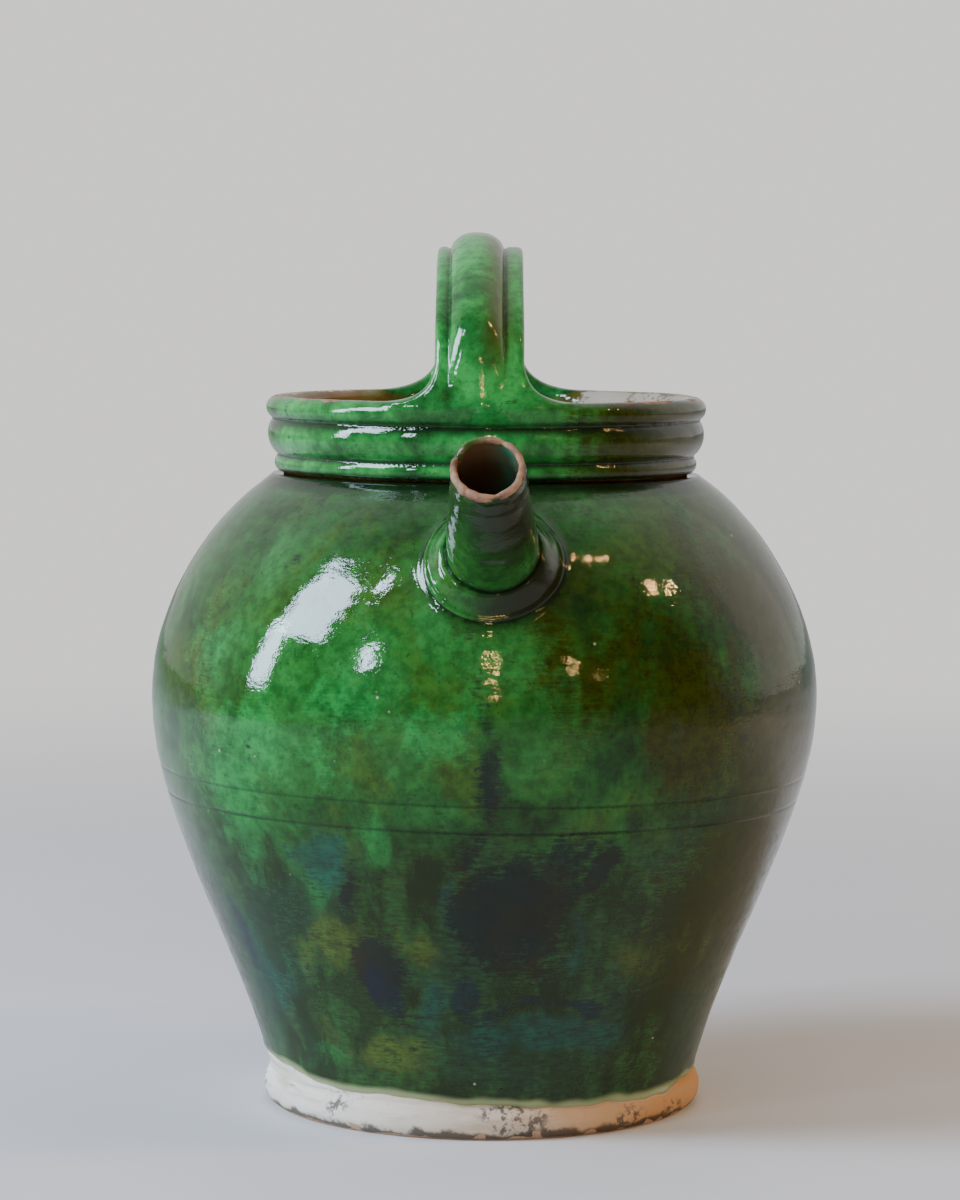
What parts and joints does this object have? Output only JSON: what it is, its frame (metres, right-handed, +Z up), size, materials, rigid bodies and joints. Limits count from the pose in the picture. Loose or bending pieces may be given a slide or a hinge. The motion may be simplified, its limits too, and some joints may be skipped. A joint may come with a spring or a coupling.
{
  "type": "ceramic pitcher",
  "caption": "Round-bellied glazed earthenware water jug with a grooved collar, a short tube spout on the shoulder and an overhead strap handle.",
  "frame": {"origin": "centre of the foot on the resting plane", "axes": "+Z up along the jar's axis, -Y towards the spout, handle in the YZ plane"},
  "size_m": [0.272, 0.3104, 0.3562],
  "materials": {
    "green_glaze": "gloss",
    "earthenware": "matte",
    "honey_glaze": "gloss",
    "cream_slip": "matte"
  },
  "bodies": {
    "root": {"jar_body": "earthenware", "outer_glaze": "green_glaze", "inner_glaze": "honey_glaze", "foot_slip": "cream_slip", "rim_collar": "green_glaze", "spout_tube": "green_glaze", "spout_luting_ring": "green_glaze", "handle_strap": "green_glaze", "handle_front_root": "green_glaze", "handle_rear_root": "green_glaze"}
  },
  "joints": []
}
